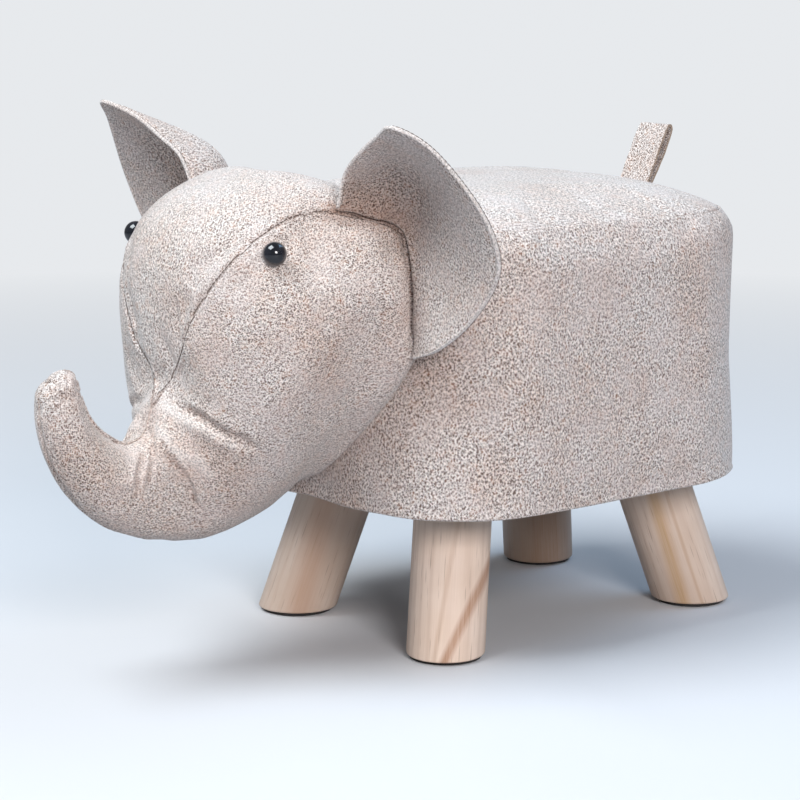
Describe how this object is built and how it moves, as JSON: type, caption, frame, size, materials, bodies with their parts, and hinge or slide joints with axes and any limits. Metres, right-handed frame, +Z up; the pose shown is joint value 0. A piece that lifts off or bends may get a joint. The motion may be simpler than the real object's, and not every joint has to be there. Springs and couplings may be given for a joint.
{
  "type": "animal footstool",
  "caption": "Low upholstered footstool shaped like an elephant, with a crowned seat, splayed round wooden legs, a stuffed head with raised trunk, flexing ears and a strap tail",
  "frame": {"origin": "on the floor, under the middle of the whole object's bounding box, trunk and tail loop included", "axes": "+Z up; the elephant faces -Y, so +Y runs from the trunk to the tail along the longest extent; +X is the elephant's left side"},
  "size_m": [0.3356, 0.469, 0.3162],
  "materials": {
    "cover_fabric": "matte",
    "pine": "satin",
    "plywood": "matte",
    "fibreboard": "matte",
    "foam": "matte",
    "wadding": "matte",
    "dust_cloth": "matte",
    "steel": "satin",
    "foot_pad": "matte",
    "eye": "gloss",
    "washer": "matte"
  },
  "bodies": {
    "stool": {"seat_board": "plywood", "base_board": "plywood", "side_wall": "fibreboard", "frame_post_front_left": "pine", "leg_front_left": "pine", "seat_board_screw_front_left": "steel", "base_board_screw_front_left": "steel", "leg_bolt_front_left": "steel", "t_nut_front_left": "steel", "foot_pad_front_left": "foot_pad", "frame_post_front_right": "pine", "leg_front_right": "pine", "seat_board_screw_front_right": "steel", "base_board_screw_front_right": "steel", "leg_bolt_front_right": "steel", "t_nut_front_right": "steel", "foot_pad_front_right": "foot_pad", "frame_post_rear_left": "pine", "leg_rear_left": "pine", "seat_board_screw_rear_left": "steel", "base_board_screw_rear_left": "steel", "leg_bolt_rear_left": "steel", "t_nut_rear_left": "steel", "foot_pad_rear_left": "foot_pad", "frame_post_rear_right": "pine", "leg_rear_right": "pine", "seat_board_screw_rear_right": "steel", "base_board_screw_rear_right": "steel", "leg_bolt_rear_right": "steel", "t_nut_rear_right": "steel", "foot_pad_rear_right": "foot_pad", "seat_foam": "foam", "side_foam": "foam", "seat_cover_top": "cover_fabric", "seat_cover_side": "cover_fabric", "forehead_panel": "cover_fabric", "head_panel_left": "cover_fabric", "head_panel_right": "cover_fabric", "dust_cover": "dust_cloth", "hem_staple_left_front": "steel", "hem_staple_left_rear": "steel", "hem_staple_right_front": "steel", "hem_staple_right_rear": "steel", "hem_staple_front_left": "steel", "hem_staple_front_right": "steel", "hem_staple_rear_left": "steel", "hem_staple_rear_right": "steel", "head_stuffing": "wadding", "trunk_stuffing": "wadding", "eye_left": "eye", "eye_right": "eye", "eye_washer_left": "washer", "eye_washer_right": "washer"},
    "ear_left": {"ear_inner_left": "cover_fabric", "ear_outer_left": "cover_fabric"},
    "ear_right": {"ear_inner_right": "cover_fabric", "ear_outer_right": "cover_fabric"},
    "tail": {"tail_loop": "cover_fabric"}
  },
  "joints": [
    {"name": "ear_left_flex", "type": "hinge", "parent": "stool", "child": "ear_left", "pos_m": [0.08312, -0.05106, 0.25551], "axis": [-0.1459, -0.0151, 0.9892], "range_deg": [-10, 12], "stiffness_Nm_per_rad": 0.15},
    {"name": "ear_right_flex", "type": "hinge", "parent": "stool", "child": "ear_right", "pos_m": [-0.08312, -0.05106, 0.25551], "axis": [0.1459, -0.0151, 0.9892], "range_deg": [-12, 10], "stiffness_Nm_per_rad": 0.15},
    {"name": "tail_flex", "type": "hinge", "parent": "stool", "child": "tail", "pos_m": [0, 0.2105, 0.2506], "axis": [1, 0, 0], "range_deg": [-40, 60], "stiffness_Nm_per_rad": 0.01}
  ]
}
